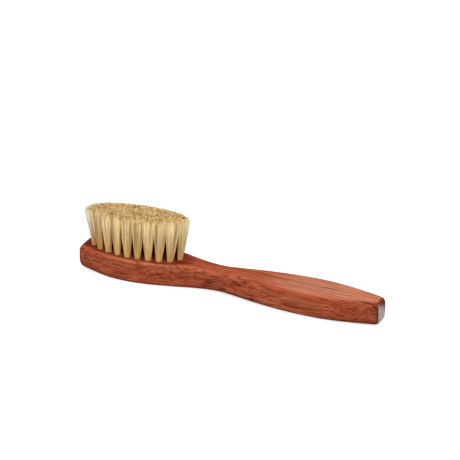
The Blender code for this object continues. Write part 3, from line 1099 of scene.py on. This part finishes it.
@dataclass
class Tuft:
    """One tuft: the fold round its anchor, and the strands that fan out from its hole to the trimmed face.

    Its strands gather in locks, which lean together at their tips and are alike in tint. A strand has a spot
    of its own on the unit disc, which its root and its tip both follow.
    """

    name: str
    place: Vector
    row: Row
    bristles: BristleField
    foot: float
    anchor_top: float
    strands: int = 420
    locks: int = 44
    wisps: float = 5.5
    wisp_contrast: float = 1.7
    wisp_shifts: Span = (0.0, 100.0)
    sides: int = 3
    root_radius: float = 1.50 * MM
    root_jitter: float = 0.14 * MM
    strand_radius: float = 0.100 * MM
    tip_radius: float = 0.105 * MM
    jitter: float = 0.22 * MM
    sway: float = 0.22 * MM
    own_bow: float = 0.5
    gather: float = 0.55
    gather_range: Span = (0.4, 1.0)
    ragged: float = 0.45 * MM
    lock_ragged: float = 0.50 * MM
    dome: float = 0.45 * MM
    dome_power: int = 4
    groove_depth: float = 0.5 * MM
    rim_drop: float = 0.60 * MM
    rim_band: Span = (0.88, 1.0)
    end_band: Span = (0.7, 1.0)
    toe_band: Span = (0.62, 1.0)
    rim_bleach: float = 0.15
    end_bleach: float = 0.25
    toe_bleach: float = 0.60
    stray_share: float = 0.04
    stray: float = 0.25 * MM
    end_stray_share: float = 0.40
    end_stray: float = 0.45 * MM
    lock_tint_share: float = 0.62
    end_tint: float = 0.90
    end_tint_share: float = 0.38
    open_band: Span = (-0.6, 0.1)
    dark_clump: float = 0.19
    dark_spread: float = 1.8
    levels: tuple[float, ...] = (0.0, 0.3, 0.62, 1.0)
    fold_sides: int = 16
    fold_tint: float = 0.5
    fold_profile: tuple[Span, ...] = ((1.0 / 3.0, 0.82), (1.0, 1.0))

    @staticmethod
    def spiral(index: int, count: int) -> Vector:
        """Return one of many points that fill a unit disc evenly, by the golden angle."""
        angle = index * math.pi * (3.0 - math.sqrt(5.0))
        return Vector((math.cos(angle), math.sin(angle))) * math.sqrt((index + 0.5) / count)

    def tip_of(self, spot: Vector) -> Vector:
        """Return where a spot of the unit disc ends up on the trimmed face, seen from above."""
        middle = self.bristles.tip(self.place)
        return middle + spot * self.bristles.reach(self.row, middle, spot.normalized())

    def outward(self, spot: Vector) -> float:
        """Measure how far a spot of the unit disc lies towards the outside of the field.

        Args:
            spot: The spot.

        Returns:
            Its distance that way, from -1 to 1.
        """
        away = self.place - self.bristles.centre
        size = self.bristles.half_size
        return spot.dot(Vector((away.x / size.x**2, away.y / size.y**2)).normalized())

    def lay_out(self, rng: random.Random) -> list[Strand]:
        """Lay out the locks, then every strand in the lock whose middle is nearest.

        Args:
            rng: The tuft's own random numbers.

        Returns:
            The strands.
        """
        spots = [self.spiral(index, self.locks) for index in range(self.locks)]
        tips = [self.tip_of(spot) for spot in spots]
        tints = [rng.random() for _ in spots]
        drops = [rng.random() * self.lock_ragged for _ in spots]
        shift = Vector((0.0, 0.0, rng.uniform(*self.wisp_shifts)))
        bows = [scattered(rng) for _ in spots]
        locks = [Lock(*traits) for traits in zip(spots, tips, tints, drops, bows)]
        dark_spot = scattered(rng) * self.dark_spread
        strands = []
        for index in range(self.strands):
            spot = self.spiral(index, self.strands)
            lock = min(locks, key=lambda each: (each.spot - spot).length_squared)
            strands.append(self.strand(rng, spot, lock, shift, dark_spot))
        return strands

    def strand(
        self, rng: random.Random, spot: Vector, lock: Lock, shift: Vector, dark_spot: Vector
    ) -> Strand:
        """Lay out one strand, from the anchor to its tip.

        Args:
            rng: The tuft's own random numbers.
            spot: The strand's spot.
            lock: The lock that it leans to.
            shift: Where the tuft's wisps lie in their noise.
            dark_spot: The middle of the tuft's dark strands, which may lie beside the tuft.

        Returns:
            The strand.
        """
        bristles = self.bristles
        root = self.place + spot * self.root_radius
        root += scattered(rng) * self.root_jitter
        end = self.tip_of(spot).lerp(lock.tip, self.gather * rng.uniform(*self.gather_range))
        end += scattered(rng) * self.jitter
        rimward = smooth_step(*self.rim_band, bristles.rimward(end))
        at_end = smooth_step(*self.end_band, bristles.endward(end))
        toeward = smooth_step(*self.toe_band, bristles.toeward(end))
        groove = bristles.grooved(end)
        top = bristles.height(end) - lock.drop - self.ragged * rng.random() ** 2
        top -= groove * self.groove_depth + rimward * self.rim_drop
        top -= self.dome * spot.length**self.dome_power
        if rng.random() < self.stray_share + self.end_stray_share * at_end * rimward:
            reach = self.stray + (self.end_stray - self.stray) * at_end * rimward
            end += (end - bristles.centre).normalized() * reach * rng.random()
        bow = lock.bow + scattered(rng) * self.own_bow
        points = [Vector((root.x, root.y, self.anchor_top))]
        for level in self.levels:
            point = root.lerp(end, level) + bow * self.sway * math.sin(math.pi * level)
            points.append(Vector((point.x, point.y, bristles.mouth + (top - bristles.mouth) * level)))

        wisp = noise.noise(Vector((spot.x, spot.y, 0.0)) * self.wisps + shift)
        wisp = min(max(MIDDLE + self.wisp_contrast * wisp, 0.0), 1.0)
        tint = self.lock_tint_share * lock.tint + (1.0 - self.lock_tint_share) * wisp
        tint += (self.end_tint - tint) * self.end_tint_share * max(at_end, toeward) * rimward
        outer = self.row is Row.OUTER
        return Strand(
            points=points,
            tint=tint,
            dark=float((spot - dark_spot).length < self.dark_clump),
            openness=smooth_step(*self.open_band, self.outward(spot)) if outer else 0.0,
            bleach=rimward * (self.rim_bleach + self.end_bleach * at_end + self.toe_bleach * toeward),
            groove=groove,
        )

    def add_fold(self, bm: bmesh.types.BMesh) -> None:
        """Add the bristles' bound fold, which wraps under the anchor at the bottom of the hole.

        Args:
            bm: The mesh that it is added to.
        """
        rounding = self.root_radius / 2
        ring = bmesh.ops.create_circle(
            bm,
            cap_ends=True,
            segments=self.fold_sides,
            radius=rounding,
            matrix=Matrix.Translation((self.place.x, self.place.y, self.foot)),
        )["verts"]
        faces = [ring[0].link_faces[0]]
        levels = [(rounding * rise, share) for rise, share in self.fold_profile]
        levels.append((self.anchor_top - self.foot, 1.0))
        for rise, share in levels:
            faces = bmesh.ops.extrude_discrete_faces(bm, faces=faces)["faces"]
            for vertex in faces[0].verts:
                away = (vertex.co.xy - self.place).normalized() * self.root_radius * share
                vertex.co = (self.place.x + away.x, self.place.y + away.y, self.foot + rise)
        bm.faces.new(ring)

    def shape(self) -> bmesh.types.BMesh:
        """Add the fold, then draw all strands at once out of their root triangles.

        Returns:
            The tuft's mesh, with the two colour attributes that the bristle's finish reads.
        """
        bm = bmesh.new()
        own = bm.verts.layers.float_color.new(PaleBristle.strand_attribute)
        light = bm.verts.layers.float_color.new(PaleBristle.light_attribute)
        strands = self.lay_out(random.Random(self.name))
        self.add_fold(bm)
        for vertex in bm.verts:
            vertex[own] = (self.fold_tint, 0.0, 0.0, 1.0)
        faces = []
        for index, strand in enumerate(strands):
            ring = bmesh.ops.create_circle(
                bm,
                cap_ends=True,
                segments=self.sides,
                radius=self.strand_radius,
                matrix=Matrix.Translation(strand.points[0]) @ Matrix.Rotation(index, 4, "Z"),
            )["verts"]
            faces.append(ring[0].link_faces[0])
        bottoms = [list(face.verts) for face in faces]
        for level, share in enumerate((0.0, *self.levels)):
            if level:
                faces = bmesh.ops.extrude_discrete_faces(bm, faces=faces)["faces"]
            radius = self.strand_radius + (self.tip_radius - self.strand_radius) * share
            for face, strand in zip(faces, strands):
                before = face.calc_center_median()
                for vertex in face.verts:
                    vertex.co = strand.points[level] + (vertex.co - before).normalized() * radius
                    vertex[own] = (strand.tint, share, strand.dark, 1.0)
                    vertex[light] = (strand.openness, strand.bleach, strand.groove, 1.0)
        for bottom in bottoms:
            bm.faces.new(bottom)
        bmesh.ops.recalc_face_normals(bm, faces=bm.faces)
        return bm

    def build(self, material: bpy.types.Material) -> bpy.types.Object:
        """Build the tuft and stand it in for its CAD node.

        Args:
            material: The bristle.

        Returns:
            The finished tuft.
        """
        number = self.name.rsplit("_", 1)[1]
        piece = dressed(f"bristles_{self.row.value}_{number}", self.shape(), material, self.name)
        piece.data.shade_smooth()
        return piece


@dataclass
class AnchorSet:
    """The flat steel wires that pin the folded tufts and bite into the wood on both sides of each hole."""

    places: list[Vector]
    foot: float
    lift: float = 0.95 * MM
    size: Vector = Vector((4.5 * MM, 0.4 * MM, 2.0 * MM))
    easing: float = 0.08 * MM
    easing_steps: int = 2

    @property
    def top(self) -> float:
        """Return the height of the wires' upper edges."""
        return self.foot + self.lift + self.size.z

    def build(self, material: bpy.types.Material) -> bpy.types.Object:
        """Build all anchors as one piece.

        Args:
            material: The steel.

        Returns:
            The finished wires.
        """
        bm = bmesh.new()
        for place in self.places:
            spot = Matrix.Translation((place.x, place.y, self.top - self.size.z / 2))
            bmesh.ops.create_cube(bm, size=1.0, matrix=spot @ Matrix.Diagonal((*self.size, 1.0)))
        bmesh.ops.bevel(
            bm,
            geom=bm.edges[:],
            offset=self.easing,
            segments=self.easing_steps,
            profile=0.5,
            affect="EDGES",
            material=-1,
        )
        return dressed("anchor_wires", bm, material)


@dataclass(frozen=True)
class PhotoView:
    """The photograph's camera, from one point of the brush and the pixel that it falls on.

    Pixels are in the photograph's frame, and the scale is that of a surface at the anchor point.
    """

    azimuth: float = math.radians(25.14)
    elevation: float = math.radians(26.0)
    distance: float = 2.0
    clip_factor: float = 10.0
    picture_side: float = 460.0
    pixels_per_metre: float = 1912.0
    anchor: Vector = Vector((-5.12 * MM, 13.13 * MM, -0.5 * MM))
    anchor_pixel: Vector = Vector((232.93, 280.33))
    sensor_mm: float = 36.0

    def build(self) -> bpy.types.Object:
        """Place the camera so that the anchor point falls on its pixel, and make it the scene's.

        Returns:
            The camera.
        """
        flat = math.cos(self.elevation)
        south = -math.cos(self.azimuth) * flat
        back = Vector((math.sin(self.azimuth) * flat, south, math.sin(self.elevation)))
        right = Vector((math.cos(self.azimuth), math.sin(self.azimuth), 0.0))
        up = back.cross(right)
        off = (self.anchor_pixel - Vector((1.0, 1.0)) * self.picture_side / 2) / self.pixels_per_metre
        aim = self.anchor - right * off.x + up * off.y
        data = bpy.data.cameras.new("photo_view")
        data.sensor_width = self.sensor_mm
        data.lens = self.sensor_mm * self.pixels_per_metre * self.distance / self.picture_side
        data.clip_start = self.distance / self.clip_factor
        data.clip_end = self.distance * self.clip_factor
        camera = bpy.data.objects.new("photo_view", data)
        camera.location = self.anchor + back * self.distance
        camera.rotation_euler = (aim - camera.location).to_track_quat("-Z", "Y").to_euler()
        bpy.context.scene.collection.objects.link(camera)
        bpy.context.scene.camera = camera
        return camera


@dataclass(frozen=True)
class SoftBox:
    """One large square lamp, aimed at the brush."""

    name: str
    place: Vector
    side: float
    power: float

    def build(self) -> bpy.types.Object:
        """Hang the lamp.

        Returns:
            The lamp.
        """
        data = bpy.data.lights.new(self.name, "AREA")
        data.shape = "SQUARE"
        data.size = self.side
        data.energy = self.power
        lamp = bpy.data.objects.new(self.name, data)
        lamp.location = self.place
        lamp.rotation_euler = (-self.place).to_track_quat("-Z", "Y").to_euler()
        bpy.context.scene.collection.objects.link(lamp)
        return lamp


@dataclass
class Studio:
    """A white table under soft light that keeps the brush's faint shadow."""

    drop: float = 0.1 * MM
    floor_half: float = 6.0
    floor_white: float = 0.45
    seen_white: float = 0.85
    lift: float = 0.60
    ambient: float = 0.40
    lamps: tuple[SoftBox, ...] = (
        SoftBox("key_softbox", Vector((0.45, -0.65, 1.6)), 0.8, 13.0),
        SoftBox("front_softbox", Vector((0.3, -1.7, 0.5)), 1.0, 13.5),
        SoftBox("back_softbox", Vector((-0.7, 1.5, 0.9)), 1.0, 5.0),
    )

    @staticmethod
    def seen_rays(graph: NodeGraph) -> Signal:
        """Tell the rays that show the white surroundings from those that light the brush.

        Args:
            graph: The floor's or the world's graph.

        Returns:
            1 for camera, glossy and transmission rays, and 0 for all others.
        """
        path = graph.node("ShaderNodeLightPath", {}, {}).outputs
        seen = Signal(graph, path["Is Camera Ray"])
        for name in ("Is Glossy Ray", "Is Transmission Ray"):
            seen = seen.at_least(Signal(graph, path[name]))
        return seen

    def floor(self) -> bpy.types.Object:
        """Lay the floor, whose own small glow takes it to white where nothing shades it.

        Returns:
            The floor.
        """
        bm = bmesh.new()
        below = Matrix.Translation((0.0, 0.0, -self.drop))
        bmesh.ops.create_grid(bm, x_segments=1, y_segments=1, size=self.floor_half, matrix=below)
        mesh = bpy.data.meshes.new("studio_floor")
        bm.to_mesh(mesh)
        bm.free()
        material, graph = new_graph("white_table")
        dull, seen = (
            graph.node("ShaderNodeBsdfDiffuse", {}, {"Color": (white, white, white, 1.0)})
            for white in (self.floor_white, self.seen_white)
        )
        glow = graph.node("ShaderNodeEmission", {}, {"Color": WHITE, "Strength": self.lift})
        lifted = graph.node("ShaderNodeAddShader", {}, {0: seen.outputs[0], 1: glow.outputs[0]})
        mixed = graph.node(
            "ShaderNodeMixShader", {}, {0: self.seen_rays(graph), 1: dull.outputs[0], 2: lifted.outputs[0]}
        )
        graph.node("ShaderNodeOutputMaterial", {}, {"Surface": mixed.outputs[0]})
        mesh.materials.append(material)
        floor = bpy.data.objects.new("studio_floor", mesh)
        bpy.context.scene.collection.objects.link(floor)
        return floor

    def surroundings(self) -> None:
        """Fill the world with even light, which is white where it is seen."""
        world = bpy.data.worlds.new("studio_world")
        world.use_nodes = True
        bpy.context.scene.world = world
        graph = NodeGraph(world.node_tree)
        dim, white = (
            graph.node("ShaderNodeBackground", {}, {"Color": WHITE, "Strength": strength})
            for strength in (self.ambient, 1.0)
        )
        mixed = graph.node(
            "ShaderNodeMixShader", {}, {0: self.seen_rays(graph), 1: dim.outputs[0], 2: white.outputs[0]}
        )
        graph.node("ShaderNodeOutputWorld", {}, {"Surface": mixed.outputs[0]})

    def build(self) -> None:
        """Set up the floor, the world and the lamps."""
        self.floor()
        self.surroundings()
        for lamp in self.lamps:
            lamp.build()
        bpy.context.scene.view_settings.view_transform = "Standard"


def root_place(node: bpy.types.Object) -> Vector:
    """Find where a tuft stands.

    Args:
        node: The tuft's CAD node.

    Returns:
        The middle of its foot, seen from above.
    """
    foot = min(vertex.co.z for vertex in node.data.vertices)
    low = [vertex.co.xy for vertex in node.data.vertices if vertex.co.z < foot + FOOT_SLACK]
    along, across = zip(*low)
    return Vector((min(along) + max(along), min(across) + max(across))) / 2


def main() -> None:
    """Dress the whole brush and set up its studio."""
    for thing in list(bpy.data.objects):
        bpy.data.objects.remove(thing, do_unlink=True)
    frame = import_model()
    tufts = {name: node for name, node in sorted(frame["nodes"].items()) if name != BLOCK_NODE}
    foot = min(vertex.co.z for node in tufts.values() for vertex in node.data.vertices)
    places = {row: {} for row in Row}
    for name, node in tufts.items():
        places[Row(name.split("_")[1])][name] = root_place(node)
    holes = [place for row in places.values() for place in row.values()]
    _, block_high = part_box(BLOCK_NODE)

    bristles = BristleField(places=places, mouth=block_high.z)
    wood = RedHardwood(
        tail=block_high.x, top=block_high.z, field_middle=bristles.centre, field_half=bristles.half_size
    ).material()
    bristle = PaleBristle().material()
    steel = AnchorSteel().material()
    block = HandleBlock(
        length=2.0 * block_high.x, head_width=2.0 * block_high.y, thickness=block_high.z, places=holes
    )
    log.info("built %s", block.build(wood).name)
    anchors = AnchorSet(places=holes, foot=foot)
    log.info("built %s", anchors.build(steel).name)
    for row, row_places in places.items():
        for name, place in row_places.items():
            tuft = Tuft(name, place, row, bristles, foot=foot, anchor_top=anchors.top)
            log.info("built %s", tuft.build(bristle).name)

    Studio().build()
    PhotoView().build()


if __name__ == "__main__":
    logging.basicConfig(level=logging.INFO)
    main()
